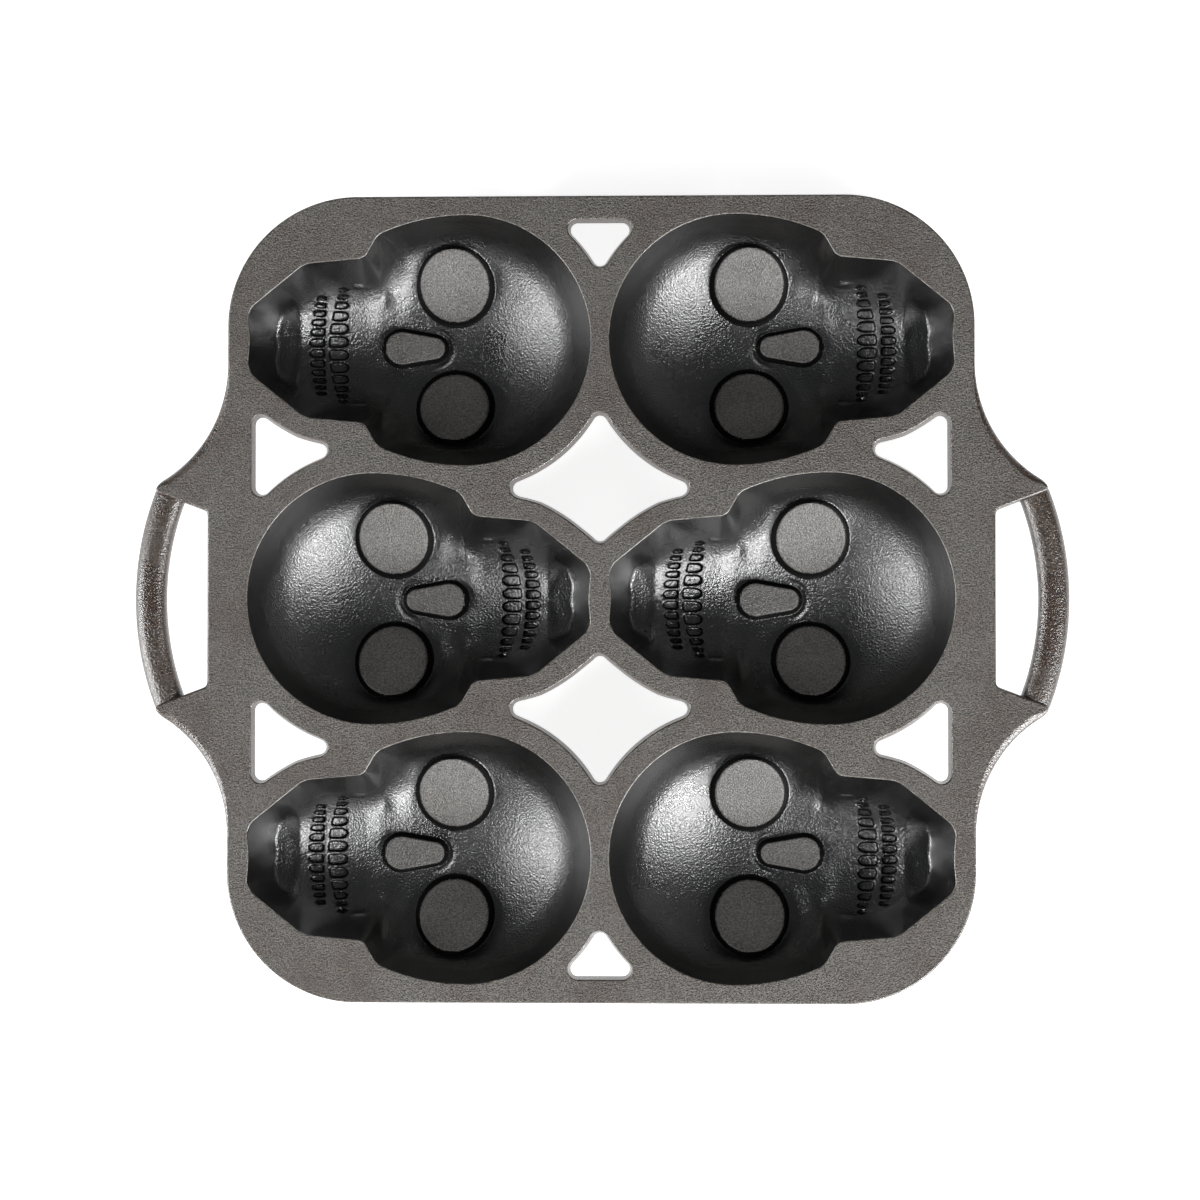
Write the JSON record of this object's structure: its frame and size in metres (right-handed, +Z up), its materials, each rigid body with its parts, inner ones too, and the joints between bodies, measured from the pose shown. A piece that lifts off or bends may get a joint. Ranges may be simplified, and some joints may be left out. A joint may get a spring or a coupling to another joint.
{
  "type": "cast iron mini cake pan",
  "caption": "Cast iron baking pan with skull-shaped cake cavities in a flat deck, open windows between them and a bowed loop handle at each end.",
  "frame": {"origin": "on the surface that the pan stands on, under the middle of the deck", "axes": "+Z up out of the cavities, +X along the line through both handles, +Y to the back"},
  "size_m": [0.392, 0.3384, 0.04],
  "materials": {
    "deck_iron": "seasoned, fine sandy cast grain",
    "cup_iron": "seasoned, satin black with a fine pebble",
    "bar_iron": "seasoned, smooth where it is gripped"
  },
  "bodies": {
    "root": {"deck_plate": "deck_iron", "skull_cup_back_left": "cup_iron", "skull_cup_back_right": "cup_iron", "skull_cup_middle_left": "cup_iron", "skull_cup_middle_right": "cup_iron", "skull_cup_front_left": "cup_iron", "skull_cup_front_right": "cup_iron", "handle_bar_left": "bar_iron", "handle_bar_right": "bar_iron"}
  },
  "joints": []
}
